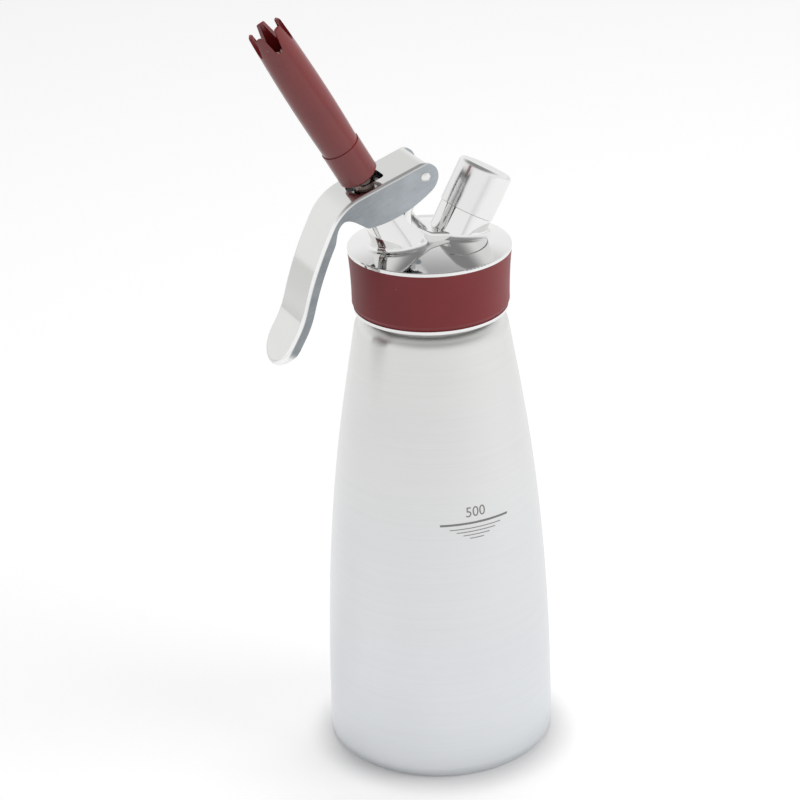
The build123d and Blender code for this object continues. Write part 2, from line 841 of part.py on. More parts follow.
with BuildPart() as piercing_pin:
    corners = [
        (0, needle_foot),
        (pin_seat_radius - snug, needle_foot),
        (pin_seat_radius - snug, flange_foot),
        (charger_bore_radius - snug, flange_foot),
        (charger_bore_radius - snug, flange_top),
        (needle_radius, flange_top),
        (needle_radius, needle_top - needle_point),
        (needle_bore + snug, needle_top),
        (0, needle_top),
    ]
    revolve(section(charger_section, corners), axis=charger_axis)
    with BuildSketch(charger_plane(needle_foot)):
        Circle(needle_bore)
    extrude(amount=needle_top - needle_foot + overcut, mode=Mode.SUBTRACT)

piercing_pin.part.label = "piercing_pin"
export_step(piercing_pin.part, "parts/piercing_pin.step")

with BuildPart() as gas_filter:
    with BuildSketch(charger_plane(filter_foot)):
        Circle(pin_seat_radius - snug)
    extrude(amount=filter_thickness)

gas_filter.part.label = "gas_filter"
export_step(gas_filter.part, "parts/gas_filter.step")

with BuildPart() as charger_seal:
    with BuildSketch(charger_plane(flange_top + face_gap)):
        Circle(charger_bore_radius - snug)
        Circle(needle_radius + seal_play, mode=Mode.SUBTRACT)
    extrude(amount=charger_seal_thickness)

charger_seal.part.label = "charger_seal"
export_step(charger_seal.part, "parts/charger_seal.step")

cap_foot = socket_top + seam
liner_foot = spigot_top + liner_gap
cap_roof = liner_foot + liner_thickness + face_gap
cap_end = cap_roof + cap_top
cap_bore_radius = cap_thread_radius + cap_relief
with BuildPart() as charger_cap:
    corners = [
        (cap_thread_radius, cap_foot),
        (cap_radius, cap_foot),
        (cap_radius, cap_end),
        (0, cap_end),
        (0, cap_roof),
        (cap_bore_radius, cap_roof),
        (cap_bore_radius, spigot_top),
        (cap_thread_radius, spigot_top - cap_relief),
    ]
    revolve(section(charger_section, corners), axis=charger_axis)
    fillet(charger_cap.edges().filter_by(GeomType.CIRCLE).sort_by(charger_axis)[-1], cap_round)

charger_cap.part.label = "charger_cap"
export_step(charger_cap.part, "parts/charger_cap.step")

with BuildPart() as cap_liner:
    with BuildSketch(charger_plane(liner_foot)):
        Circle(cap_bore_radius - snug)
    extrude(amount=liner_thickness)

cap_liner.part.label = "cap_liner"
export_step(cap_liner.part, "parts/cap_liner.step")

with BuildPart() as check_valve_cover:
    with BuildSketch(Plane.XY.offset(cover_foot)):
        with Locations((gas_channel_x, 0)):
            Circle(check_pocket_radius - snug)
            with PolarLocations(check_cover_ring, check_cover_holes):
                Circle(check_cover_hole, mode=Mode.SUBTRACT)
    extrude(amount=check_cover_thickness)

check_valve_cover.part.label = "check_valve_cover"
export_step(check_valve_cover.part, "parts/check_valve_cover.step")

with BuildPart() as check_valve:
    with BuildSketch(Plane.XY.offset(cover_top + face_gap)):
        with Locations((gas_channel_x, 0)):
            Circle(check_pocket_radius - check_disc_play)
    extrude(amount=check_disc_thickness)

check_valve.part.label = "check_valve"
export_step(check_valve.part, "parts/check_valve.step")


# ---------------------------------------------------------------- lever
grip_heading = 180 + plate_slope + knee_turn
tail_heading = grip_heading + bow_turn - kick_turn
tail_sin = math.sin(math.radians(tail_heading))
tail_cos = math.cos(math.radians(tail_heading))
tail_along = Vector(tail_cos, 0, tail_sin)
tail_rear = Vector(-tail_sin, 0, tail_cos)
nose_sin = math.sin(math.radians(cheek_turn))
nose_cos = math.cos(math.radians(cheek_turn))
nose_end = (pivot_x + plate_above_pivot * nose_cos, pivot_z + plate_above_pivot * nose_sin)
flange_rise = flange_depth - flange_end_depth
lever_reach = plate_run + knee_radius + bow_radius  # longer than the lever in any direction


def under_plate(along, drop):
    """The side view's point at a distance along the plate and a drop below its top."""
    place = pivot + plate_up * (plate_above_pivot - drop) + plate_along * along
    return (place.X, place.Z)


def lever_line(depth, lead):
    """The lever's front in side view, depth further in: plate, knee, bowed grip and kick."""
    with BuildLine(Plane.XZ) as line:
        plate = PolarLine(under_plate(-lead, depth), lead + plate_run, 180 + plate_slope)
        knee = JernArc(plate @ 1, plate % 1, knee_radius - depth, knee_turn)
        grip = PolarLine(knee @ 1, grip_run, grip_heading)
        bow = JernArc(grip @ 1, grip % 1, bow_radius - depth, bow_turn)
        kick = JernArc(bow @ 1, bow % 1, kick_radius + depth, -kick_turn)
        PolarLine(kick @ 1, grip_tail + overcut, tail_heading)
    return line.line


def behind(line):
    """The side view's area behind a line of the lever, cut off square to the plate."""
    first = line @ 0
    last = line @ 1
    top = first + plate_up * lever_half_width
    with BuildSketch(Plane.XZ) as area:
        with BuildLine():
            add(Plane.XZ.to_local_coords(line))
            Polyline(
                (last.X, last.Z),
                (last.X + lever_reach, last.Z),
                (last.X + lever_reach, top.Z),
                (top.X, top.Z),
                (first.X, first.Z),
            )
        make_face()
    return area.sketch


front_line = lever_line(0, lever_half_width)
tail_end = (front_line @ 1) - tail_along * overcut
# Seen square to its tail the lever has straight sides and a round end.
plan = Plane(tail_end - tail_along * lever_half_width, x_dir=(0, 1, 0), z_dir=tail_rear)

with BuildPart() as lever_block:
    extrude(behind(front_line), amount=lever_half_width, both=True)
    with BuildSketch(plan):
        Circle(lever_half_width)
        Rectangle(2 * lever_half_width, lever_reach, align=(Align.CENTER, Align.MIN))
    extrude(amount=lever_reach, both=True, mode=Mode.INTERSECT)
    long_edges = lever_block.edges().filter_by(Axis.Y, reverse=True)
    creases = [
        edge
        for edge in long_edges
        if front_line.distance_to(Vector((edge @ 0.5).X, 0, (edge @ 0.5).Z)) < face_gap
    ]
    fillet(creases, lever_crease)

with BuildPart() as lever_hollow:
    extrude(behind(lever_line(lever_wall, plate_lip)), amount=lever_inner_half, both=True)
    with BuildSketch(plan):
        Circle(lever_inner_half)
        Rectangle(2 * lever_inner_half, lever_reach, align=(Align.CENTER, Align.MIN))
    extrude(amount=lever_reach, both=True, mode=Mode.INTERSECT)

# The window is set out from the place where the valve's axis passes the plate's top.
tilt = math.radians(lean - plate_slope)
pivot_offset = pivot_x * lean_cos + (pivot_z - axes_meet) * lean_sin
axis_run = (pivot_offset + plate_above_pivot * math.sin(tilt)) / math.cos(tilt)
window_middle = pivot + plate_up * plate_above_pivot + plate_along * axis_run
window_plane = Plane(window_middle, x_dir=(0, 1, 0), z_dir=plate_up)
window_half = stem_radius + window_play

with BuildPart() as lever:
    with BuildSketch(Plane.XZ) as cheek:
        with BuildLine():
            plate = PolarLine(under_plate(0, 0), plate_run, 180 + plate_slope)
            knee = JernArc(plate @ 1, plate % 1, knee_radius, knee_turn)
            grip = PolarLine(knee @ 1, grip_run, grip_heading)
            bow = JernArc(grip @ 1, grip % 1, bow_radius, bow_turn)
            kick = JernArc(bow @ 1, bow % 1, kick_radius, -kick_turn)
            tail = PolarLine(kick @ 1, grip_tail + overcut, tail_heading)
            end = PolarLine(tail @ 1, flange_end_depth, tail_heading + 90)
            fade = Line(end @ 1, end @ 1 + (end % 1) * flange_rise - (tail % 1) * flange_fade)
            back = PolarLine(fade @ 1, grip_tail + overcut - flange_fade, tail_heading + 180)
            back_kick = JernArc(back @ 1, back % 1, kick_radius + flange_depth, kick_turn)
            back_bow = JernArc(back_kick @ 1, back_kick % 1, bow_radius - flange_depth, -bow_turn)
            corner = under_plate(plate_run + arch_corner[0], arch_corner[1])
            crown = under_plate(plate_run + arch_crown[0], arch_crown[1])
            arch_foot = under_plate(plate_run + arch_end[0], arch_end[1])
            Spline(
                back_bow @ 1,
                under_plate(plate_run + arch_flank[0], arch_flank[1]),
                crown,
                arch_foot,
                corner,
                tangents=[back_bow % 1, (corner[0] - arch_foot[0], corner[1] - arch_foot[1])],
            )
            Spline(
                corner,
                under_plate(*cheek_belly),
                under_plate(*cheek_rise),
                under_plate(*cheek_throat),
                nose_end,
                tangents=[(1, 0), (-nose_sin, nose_cos)],
            )
            nose_turn = 90 + plate_slope - cheek_turn
            CenterArc((pivot_x, pivot_z), plate_above_pivot, cheek_turn, nose_turn)
        make_face()
        # In the sketch's own frame the height is its y.
        fillet(cheek.vertices().sort_by_distance((*corner, 0))[0], arch_corner_round)
    extrude(amount=lever_half_width, both=True)
    add(lever_block.part, mode=Mode.INTERSECT)
    add(lever_hollow.part, mode=Mode.SUBTRACT)
    # Slot for the stem, round at the handle's side
    with BuildSketch(window_plane) as window:
        with Locations((0, -window_reach)):
            window_length = 2 * window_reach - window_half
            Rectangle(2 * window_half, window_length, align=(Align.CENTER, Align.MIN))
        fillet(window.vertices().group_by(Axis.Y)[0], window_corner)
        with Locations((0, window_reach - window_half)):
            Circle(window_half)
    extrude(amount=lever_half_width, both=True, mode=Mode.SUBTRACT)
    with BuildSketch(Plane.XZ):
        with Locations((pivot_x, pivot_z)):
            Circle(pivot_bore_radius)
    extrude(amount=lever_half_width + overcut, both=True, mode=Mode.SUBTRACT)

lever.part.label = "lever"
export_step(lever.part, "parts/lever.step")

pin_head_base = lever_half_width + face_gap
pin_head_tip = pin_head_base + pivot_head_height
with BuildPart() as lever_pin:
    with BuildSketch(Plane(pivot, x_dir=(1, 0, 0), z_dir=(0, 0, 1))):
        with BuildLine():
            TangentArc((0, pin_head_tip), (pivot_head_radius, pin_head_base), tangent=(1, 0))
            Polyline(
                (pivot_head_radius, pin_head_base),
                (pivot_pin_radius, pin_head_base),
                (pivot_pin_radius, -pin_head_base),
                (pivot_head_radius, -pin_head_base),
            )
            TangentArc((0, -pin_head_tip), (pivot_head_radius, -pin_head_base), tangent=(1, 0))
            Line((0, -pin_head_tip), (0, pin_head_tip))
        make_face()
    revolve(axis=Axis(pivot, (0, 1, 0)))

lever_pin.part.label = "lever_pin"
export_step(lever_pin.part, "parts/lever_pin.step")
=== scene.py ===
"""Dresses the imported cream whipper: finishes, fill scale, floor, lamps and camera."""

import math

import bmesh
import bpy
from bpy.props import FloatProperty, FloatVectorProperty, PointerProperty, StringProperty
from mathutils import Matrix, Vector


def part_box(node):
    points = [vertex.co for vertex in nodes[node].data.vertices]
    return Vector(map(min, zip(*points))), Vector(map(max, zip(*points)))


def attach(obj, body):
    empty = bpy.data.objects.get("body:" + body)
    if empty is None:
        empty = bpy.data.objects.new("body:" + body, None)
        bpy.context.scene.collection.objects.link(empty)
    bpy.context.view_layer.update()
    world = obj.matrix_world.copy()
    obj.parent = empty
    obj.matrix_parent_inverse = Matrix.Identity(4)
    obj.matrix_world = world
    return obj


bl_info = {
    "name": "Cream Whipper Dressing",
    "version": (1, 0, 0),
    "blender": (4, 5, 0),
    "location": "View3D > Sidebar > Whipper",
    "description": "Finishes, fill scale, floor, lamps and camera for the cream whipper",
    "category": "Object",
}

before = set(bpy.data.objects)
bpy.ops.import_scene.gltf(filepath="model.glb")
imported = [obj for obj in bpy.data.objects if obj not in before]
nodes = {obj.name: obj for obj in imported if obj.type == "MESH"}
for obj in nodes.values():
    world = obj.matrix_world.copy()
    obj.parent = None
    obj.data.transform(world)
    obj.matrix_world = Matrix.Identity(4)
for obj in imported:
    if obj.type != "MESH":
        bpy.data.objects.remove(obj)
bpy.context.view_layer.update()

MM = 0.001
LEAN = math.radians(29.5)  # of the valve's and the charger socket's axes
VALVE_WAY = (-math.sin(LEAN), 0.0, math.cos(LEAN))
SOCKET_WAY = (math.sin(LEAN), 0.0, math.cos(LEAN))
PLATE_WAY = (0.94, 0.0, 0.34)  # along the lever's plate, from the handle towards the pin
PLATE_UP = (-0.34, 0.0, 0.94)


# ---------------------------------------------------------------- node trees
class Value:
    """An output socket of a node tree; Python's operators on it add Math nodes."""

    def __init__(self, tree, socket):
        self.tree = tree
        self.socket = socket

    def maths(self, operation, *others):
        """Adds one Math node that works on this value and the others."""
        return self.tree.maths(operation, self, *others)

    def __add__(self, other):
        return self.maths("ADD", other)

    def __radd__(self, other):
        return self.tree.maths("ADD", other, self)

    def __sub__(self, other):
        return self.maths("SUBTRACT", other)

    def __rsub__(self, other):
        return self.tree.maths("SUBTRACT", other, self)

    def __mul__(self, other):
        return self.maths("MULTIPLY", other)

    def __rmul__(self, other):
        return self.tree.maths("MULTIPLY", other, self)

    def __truediv__(self, other):
        return self.maths("DIVIDE", other)

    def __rtruediv__(self, other):
        return self.tree.maths("DIVIDE", other, self)

    def __pow__(self, other):
        return self.maths("POWER", other)

    def __abs__(self):
        return self.maths("ABSOLUTE")

    def within(self, low, high):
        """0 up to low, 1 from high on, and a smooth step between them."""
        return self.tree.add(
            "ShaderNodeMapRange",
            {"interpolation_type": "SMOOTHSTEP"},
            {"Value": self, "From Min": low, "From Max": high},
        )


class Tree:
    """A node tree that is filled by adding nodes with their settings and inputs."""

    def __init__(self, node_tree):
        self.node_tree = node_tree
        node_tree.nodes.clear()

    def add(self, kind, settings=None, inputs=None, output=0):
        """Adds a node, sets it up, fills its sockets and returns an output as a Value."""
        node = self.node_tree.nodes.new(kind)
        for name, value in (settings or {}).items():
            setattr(node, name, value)
        for name, value in (inputs or {}).items():
            if isinstance(value, Value):
                self.node_tree.links.new(value.socket, node.inputs[name])
            else:
                node.inputs[name].default_value = value
        return Value(self, node.outputs[output]) if node.outputs else None

    def maths(self, operation, *terms):
        """Adds one Math node."""
        return self.add("ShaderNodeMath", {"operation": operation}, dict(enumerate(terms)))

    def vector(self, operation, first, second, output=0):
        """Adds one Vector Math node; DOT_PRODUCT has its number on output 1."""
        settings = {"operation": operation}
        return self.add("ShaderNodeVectorMath", settings, {0: first, 1: second}, output)

    def place(self, output="Object"):
        """A point's own coordinates, in metres with Object."""
        return self.add("ShaderNodeTexCoord", output=output)

    def parts(self, vector):
        """The three numbers of a vector."""
        node = self.add("ShaderNodeSeparateXYZ", None, {"Vector": vector}).socket.node
        return [Value(self, socket) for socket in node.outputs]

    def noise(self, vector, cells, detail=2.0, roughness=0.5, seed=0.0):
        """Noise from 0 to 1, with so many cells a metre along each axis."""
        if not isinstance(cells, tuple):
            cells = (cells, cells, cells)
        scaled = self.vector("MULTIPLY", vector, cells)
        return self.add(
            "ShaderNodeTexNoise",
            {"noise_dimensions": "4D"},
            {"Vector": scaled, "W": seed, "Scale": 1.0, "Detail": detail, "Roughness": roughness},
        )

    def mix(self, share, first, second):
        """A colour that goes from first to second."""
        inputs = {0: share, 6: first, 7: second}
        return self.add("ShaderNodeMix", {"data_type": "RGBA"}, inputs, output=2)

    def shades(self, share, tone, darker, lighter):
        """A colour about tone, times darker at share 0 and times lighter at share 1."""
        return self.mix(share, colour(tone, darker), colour(tone, lighter))

    def bump(self, height, depth, under=None):
        """A normal that follows a height from 0 to 1, worth so many metres."""
        inputs = {"Height": height, "Distance": depth, "Strength": 1.0}
        if under:
            inputs["Normal"] = under
        return self.add("ShaderNodeBump", None, inputs)

    def surface(self, shader):
        """Ends the tree with its shader."""
        self.add("ShaderNodeOutputMaterial", None, {"Surface": shader})

    def principled(self, **inputs):
        """Ends the tree with a Principled shader, whose inputs are named with _."""
        named = {name.replace("_", " "): value for name, value in inputs.items()}
        self.surface(self.add("ShaderNodeBsdfPrincipled", None, named))


def colour(tone, times=1.0):
    """A shader colour from three linear numbers."""
    return (*(min(part * times, 1.0) for part in tone), 1.0)


def new_finish(name):
    """A new material and its empty tree."""
    made = bpy.data.materials.new(name)
    made.use_nodes = True
    return made, Tree(made.node_tree)


def dress(finish, *names):
    """Gives CAD nodes one finish all over."""
    for name in names:
        mesh = nodes[name].data
        mesh.materials.clear()
        mesh.materials.append(finish)


def new_object(name, data):
    """A new object in the scene."""
    made = bpy.data.objects.new(name, data)
    bpy.context.scene.collection.objects.link(made)
    return made


# ---------------------------------------------------------------- settings
def tone_setting(name, description, default):
    """A linear colour that the user may change."""
    return FloatVectorProperty(
        name=name,
        description=description,
        default=default,
        subtype="COLOR",
        min=0.0,
        max=1.0,
    )


def share_setting(name, description, default):
    """A number from 0 to 1 that the user may change."""
    return FloatProperty(
        name=name,
        description=description,
        default=default,
        subtype="FACTOR",
        min=0.0,
        max=1.0,
    )


def length_setting(name, description, default):
    """A length in metres that the user may change."""
    return FloatProperty(
        name=name,
        description=description,
        default=default,
        unit="LENGTH",
        precision=5,
    )


def angle_setting(name, description, degrees):
    """An angle that the user may change."""
    return FloatProperty(
        name=name,
        description=description,
        default=math.radians(degrees),
        subtype="ANGLE",
    )


class WhipperMetal(bpy.types.PropertyGroup):
    """Colours and smoothness of the metal pieces."""

    bottle_tone: tone_setting("Bottle", "Colour of the bottle's shoulder", (0.76, 0.76, 0.75))
    # The foot's cooler tone is a painted reflection.
    bottle_foot_tone: tone_setting("Foot", "Cooler colour of the bottle's foot", (0.725, 0.745, 0.77))
    bottle_roughness: share_setting("Bottle roughness", "How dull the brushed bottle is", 0.30)
    grain_height: length_setting("Grain spacing", "Height of one line of the brushing", 0.0004)
    chrome_tone: tone_setting("Chrome", "Colour of the polished head and cap", (0.80, 0.80, 0.795))
    chrome_roughness: share_setting("Chrome roughness", "How dull the head is", 0.045)
    cap_roughness: share_setting("Cap roughness", "How dull the charger cap is", 0.18)
    lever_tone: tone_setting("Lever", "Colour of the lever's front", (0.74, 0.74, 0.73))
    cheek_tone: tone_setting("Cheeks", "Colour of the lever's satin cheeks", (0.31, 0.335, 0.355))
    cheek_roughness: share_setting("Cheek roughness", "How dull the cheeks are", 0.30)
    turned_tone: tone_setting("Valve steel", "Colour of the turned small pieces", (0.66, 0.66, 0.65))
    pin_tone: tone_setting("Pin", "Colour of the lever's riveted pin", (0.9, 0.9, 0.89))
    # The stem's colour is painted shade: dark because stem and collar lie in the shade under the tip.
    stem_painted_shade_tone: tone_setting("Stem", "Colour of the stem in the lever's window", (0.19, 0.15, 0.135))


class WhipperRed(bpy.types.PropertyGroup):
    """Colours and smoothness of the red pieces."""

    band_tone: tone_setting("Band", "Colour of the silicone grip band", (0.250, 0.0245, 0.0300))
    band_roughness: share_setting("Band roughness", "How dull the grip band is", 0.44)
    tip_tone: tone_setting("Tip", "Colour of the decorator tip", (0.238, 0.0200, 0.0210))
    tip_roughness: share_setting("Tip roughness", "How dull the decorator tip is", 0.12)


class WhipperSeals(bpy.types.PropertyGroup):
    """Colours of the seals, liners and filter."""

    rubber_tone: tone_setting("Rubber", "Colour of the seals", (0.62, 0.60, 0.56))
    white_tone: tone_setting("White plastic", "Colour of guide and liner", (0.76, 0.76, 0.74))
    bronze_tone: tone_setting("Bronze", "Colour of the gas filter", (0.55, 0.38, 0.20))


class WhipperScale(bpy.types.PropertyGroup):
    """Sizes of the fill scale on the bottle."""

    figures: StringProperty(
        name="Figures",
        description="Plain figures above the full line, in millilitres",
        default="500",
    )
    line_height: length_setting("Full line", "Height of the full line above the table", 0.1001)
    line_width: length_setting("Line width", "Width of the full line", 0.00078)
    mark_width: length_setting("Mark width", "Width of the short lines", 0.00030)
    mark_step: length_setting("Mark step", "Height from one short line to the next", 0.00125)
    figures_gap: length_setting("Figures' gap", "Height from the full line to the figures", 0.0023)
    figures_size: length_setting("Figures' size", "Height of the figures' letter size", 0.0052)
    heading: angle_setting("Heading", "Where the scale's middle is around the bottle", -92.6)
    line_reach: angle_setting("Reach", "Angle from the scale's middle to the line's end", 20.6)
    tone: tone_setting("Etching", "Colour of the etched scale", (0.25, 0.25, 0.24))


class WhipperStage(bpy.types.PropertyGroup):
    """Light and floor of the studio."""

    floor_tone: tone_setting("Floor", "Colour of the table", (0.8, 0.8, 0.8))
    floor_glow: share_setting("Floor glow", "How much whiter the table shows", 0.38)
    room_light: share_setting("Room light", "Plain light from all round on the object", 0.35)
    key_power: FloatProperty(
        name="Key lamp",
        description="Power of the lamp above",
        default=11.0,
        unit="POWER",
    )
    fill_power: FloatProperty(
        name="Fill lamp",
        description="Power of the lamp in front on the right",
        default=10.5,
        unit="POWER",
    )


# ---------------------------------------------------------------- finishes
def brushed_steel(metal):
    """Satin steel, brushed round the bottle; its grain blurs what it mirrors up and down."""
    finish, tree = new_finish("brushed_bottle_steel")
    place = tree.place()
    lines = 1 / metal.grain_height
    fine = tree.noise(place, (22, 22, lines), 3.0, 0.62)
    long = tree.noise(place, (9, 9, lines / 4), 2.0, 0.5, 3.0)
    cloud = tree.noise(place, 38.0, 3.0, 0.55, 7.0)
    grain = fine * 0.65 + long * 0.35
    streak = grain * 0.7 + cloud * 0.3
    # Painted reflection: the foot is painted cooler than the shoulder, fading into it over the lowest
    # 17 cm.
    foot = tree.shades(streak, metal.bottle_foot_tone, 0.91, 1.09)
    shoulder = tree.shades(streak, metal.bottle_tone, 0.91, 1.09)
    height = tree.parts(place)[2]
    tree.principled(
        Base_Color=tree.mix(height.within(0.0, 0.17), foot, shoulder),
        Metallic=1.0,
        Roughness=metal.bottle_roughness - 0.04 + grain * 0.06 + cloud * 0.03,
        Anisotropic=0.9,
        Anisotropic_Rotation=0.25,
        Normal=tree.bump(grain, 0.000004),
    )
    return finish


def polished_chrome(name, tone, roughness, ripple):
    """Mirror chrome with the slight ripple and haze of polishing by hand."""
    finish, tree = new_finish(name)
    place = tree.place()
    haze = tree.noise(place, 95.0, 4.0, 0.6)
    wave = tree.noise(place, 60.0, 1.0, 0.4, 2.0)
    wipe = tree.noise(place, (160, 900, 160), 2.0, 0.5, 5.0)
    tree.principled(
        Base_Color=tree.shades(haze, tone, 0.96, 1.04),
        Metallic=1.0,
        Roughness=roughness + haze.within(0.35, 0.8) * 0.035 + wipe * 0.012,
        Normal=tree.bump(wave, ripple, tree.bump(wipe, 0.0000006)),
    )
    return finish


def lever_steel(metal):
    """Polished front that turns to mottled satin on the cheeks; painted light along the fold and pin.
    """
    finish, tree = new_finish("lever_steel")
    place = tree.place()
    side = abs(tree.parts(tree.place("Normal"))[1])
    along = tree.vector("DOT_PRODUCT", place, PLATE_WAY, output=1)
    across = tree.vector("DOT_PRODUCT", place, PLATE_UP, output=1)
    lay = tree.add("ShaderNodeCombineXYZ", None, {0: along * 160.0, 2: across * 1500.0})
    drawn = tree.add(
        "ShaderNodeTexNoise", None, {"Vector": lay, "Scale": 1.0, "Detail": 3.0, "Roughness": 0.6}
    )
    cloud = tree.noise(place, 130.0, 4.0, 0.6)
    blotch = tree.noise(place, 42.0, 2.0, 0.5, 4.0)
    cheek = (side + (cloud - 0.5) * 0.05).within(0.86, 0.985)
    mottle = cloud * 0.6 + blotch * 0.4
    rubbed = mottle.within(0.3, 0.7) * 0.45 + drawn * 0.55
    low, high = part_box("lever_pin")
    pin_along = ((low + high) / 2).dot(Vector(PLATE_WAY))
    # Painted light: the cheeks are painted lighter towards the pin, fading out over 3 cm.
    painted_light_near_pin = 1 - (pin_along - along).within(0.003, 0.03)
    satin = tree.shades(rubbed * 0.6 + painted_light_near_pin * 0.4, metal.cheek_tone, 0.6, 1.55)
    front = tree.shades(cloud, metal.lever_tone, 0.98, 1.03)
    # Painted highlight: the fold between front and cheeks is painted lighter than the front.
    crease_and_painted_highlight = side.within(0.12, 0.3) * (1 - side.within(0.8, 0.93))
    polished = tree.mix(crease_and_painted_highlight, front, colour((0.92, 0.92, 0.92)))
    dulled = cheek * (metal.cheek_roughness - 0.1 + mottle * 0.1) + crease_and_painted_highlight * 0.2
    tree.principled(
        Base_Color=tree.mix(cheek, polished, satin),
        Metallic=1.0,
        Roughness=0.07 + cloud * 0.03 + dulled,
        Normal=tree.bump(drawn, 0.0000045, tree.bump(cheek * blotch, 0.00003)),
    )
    return finish


def moulded_red(name, tone, roughness, gloss, skin):
    """Red silicone or plastic, with the fine skin of its mould."""
    finish, tree = new_finish(name)
    place = tree.place()
    cloud = tree.noise(place, 70.0, 4.0, 0.55)
    pores = tree.noise(place, 1500.0, 3.0, 0.6, 2.0)
    dust = tree.noise(place, 900.0, 1.0, 0.5, 9.0).within(0.74, 0.8)
    paler = (0.30, 0.17, 0.17)
    body = tree.shades(cloud.within(0.25, 0.75), tone, 0.93, 1.08)
    tree.principled(
        Base_Color=tree.mix(dust * 0.5, body, colour(paler)),
        Roughness=roughness + cloud * 0.05 + pores * 0.04,
        Specular_IOR_Level=gloss,
        Normal=tree.bump(pores, skin, tree.bump(cloud, 0.00003)),
    )
    return finish


def turned_steel(name, tone, axis, roughness=0.14):
    """Small turned piece with the fine rings that the lathe leaves about its axis."""
    finish, tree = new_finish(name)
    place = tree.place()
    along = tree.vector("DOT_PRODUCT", place, axis, output=1)
    rings = tree.add(
        "ShaderNodeTexNoise",
        {"noise_dimensions": "1D"},
        {"W": along * 5000.0, "Scale": 1.0, "Detail": 3.0, "Roughness": 0.6},
    )
    haze = tree.noise(place, 300.0, 2.0)
    tree.principled(
        Base_Color=tree.shades(rings, tone, 0.92, 1.06),
        Metallic=1.0,
        Roughness=roughness + rings * 0.08 + haze * 0.06,
        Normal=tree.bump(rings, 0.000008),
    )
    return finish


def moulded(name, tone, roughness, skin):
    """A plain rubber or plastic with a moulded skin."""
    finish, tree = new_finish(name)
    place = tree.place()
    cloud = tree.noise(place, 180.0, 3.0)
    pores = tree.noise(place, 1600.0, 2.0, 0.6, 3.0)
    tree.principled(
        Base_Color=tree.shades(cloud, tone, 0.94, 1.05),
        Roughness=roughness + cloud * 0.08,
        Normal=tree.bump(pores, skin),
    )
    return finish


def sintered_bronze(tone):
    """Bronze grains pressed into a filter disc."""
    finish, tree = new_finish("sintered_bronze")
    grains = tree.add("ShaderNodeTexVoronoi", None, {"Vector": tree.place(), "Scale": 4500.0})
    tree.principled(
        # Painted shade: the colour is darker towards the grains' edges, where the bump is lowest.
        Base_Color=tree.shades(grains, tone, 1.1, 0.5),
        Metallic=1.0,
        Roughness=0.35 + grains * 0.3,
        Normal=tree.bump(1 - grains, 0.00008),
    )
    return finish


def etched_steel(scale):
    """The dull grey of lines etched into the bottle."""
    finish, tree = new_finish("etched_scale")
    place = tree.place()
    pits = tree.noise(place, 3500.0, 2.0, 0.6)
    cloud = tree.noise(place, 500.0, 2.0, 0.5, 3.0)
    tree.principled(
        Base_Color=tree.shades(pits * 0.5 + cloud * 0.5, scale.tone, 0.85, 1.2),
        Metallic=0.8,
        Roughness=0.5 + pits * 0.1,
        Normal=tree.bump(pits, 0.00001),
    )
    return finish


# ---------------------------------------------------------------- fill scale
SCALE_SLIMNESS = 0.9  # of the bottle's wall at the scale, against its foot
SHORT_LINES = 4
FIRST_DROP = 1.5  # steps from the full line down to the first short line
FIRST_REACH = 0.74  # of the first short line, as a share of the full line's reach
REACH_STEP = 0.18  # by which each short line is shorter than the one above
SCALE_STRIP = 0.5 * MM  # width of the strips that follow the bottle round
SCALE_PROUD = 0.03 * MM


def figures_mesh(text, size):
    """Flat figures, centred on the line that they stand on."""
    curve = bpy.data.curves.new("figures", "FONT")
    curve.body = text
    curve.size = size
    curve.align_x = "CENTER"
    curve.resolution_u = 6
    carrier = new_object("figures", curve)
    bpy.context.view_layer.update()
    mesh = bpy.data.meshes.new_from_object(carrier)
    bpy.data.objects.remove(carrier)
    bpy.data.curves.remove(curve)
    return mesh


def flat_scale(scale):
    """The whole scale laid out flat: x round the bottle and y up, in metres."""
    low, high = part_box("bottle")
    radius = (high.x - low.x) / 2 * SCALE_SLIMNESS
    flat = bmesh.new()
    figures = figures_mesh(scale.figures, scale.figures_size)
    figures.transform(Matrix.Translation((0.0, scale.line_height + scale.figures_gap, 0.0)))
    flat.from_mesh(figures)
    bpy.data.meshes.remove(figures)
    lines = [(scale.line_height, scale.line_width, scale.line_reach)]
    for number in range(SHORT_LINES):
        drop = (number + FIRST_DROP) * scale.mark_step
        reach = scale.line_reach * (FIRST_REACH - REACH_STEP * number)
        lines.append((scale.line_height - drop, scale.mark_width, reach))
    for height, width, reach in lines:
        half = radius * reach
        corners = [(-half, -width), (half, -width), (half, width), (-half, width)]
        flat.faces.new([flat.verts.new((x, height + y / 2, 0.0)) for x, y in corners])
    cuts = int(radius * scale.line_reach / SCALE_STRIP)
    for cut in range(-cuts, cuts + 1):
        everything = flat.verts[:] + flat.edges[:] + flat.faces[:]
        at = (cut * SCALE_STRIP, 0, 0)
        bmesh.ops.bisect_plane(flat, geom=everything, dist=1e-7, plane_co=at, plane_no=(1, 0, 0))
    return flat, radius


def wrap_scale(scale):
    """The scale as a thin skin just proud of the bottle's wall."""
    flat, radius = flat_scale(scale)
    bottle = nodes["bottle"]
    outside = 5 * radius
    for vertex in flat.verts:
        heading = scale.heading + vertex.co.x / radius
        outwards = Vector((math.cos(heading), math.sin(heading), 0.0))
        start = outwards * outside + Vector((0.0, 0.0, vertex.co.y))
        found, wall, slope, _ = bottle.ray_cast(start, -outwards)
        if not found:
            raise RuntimeError("the fill scale misses the bottle")
        vertex.co = wall + slope * SCALE_PROUD
    mesh = bpy.data.meshes.new("fill_scale")
    flat.to_mesh(mesh)
    flat.free()
    mesh.shade_smooth()
    return new_object("fill_scale", mesh)


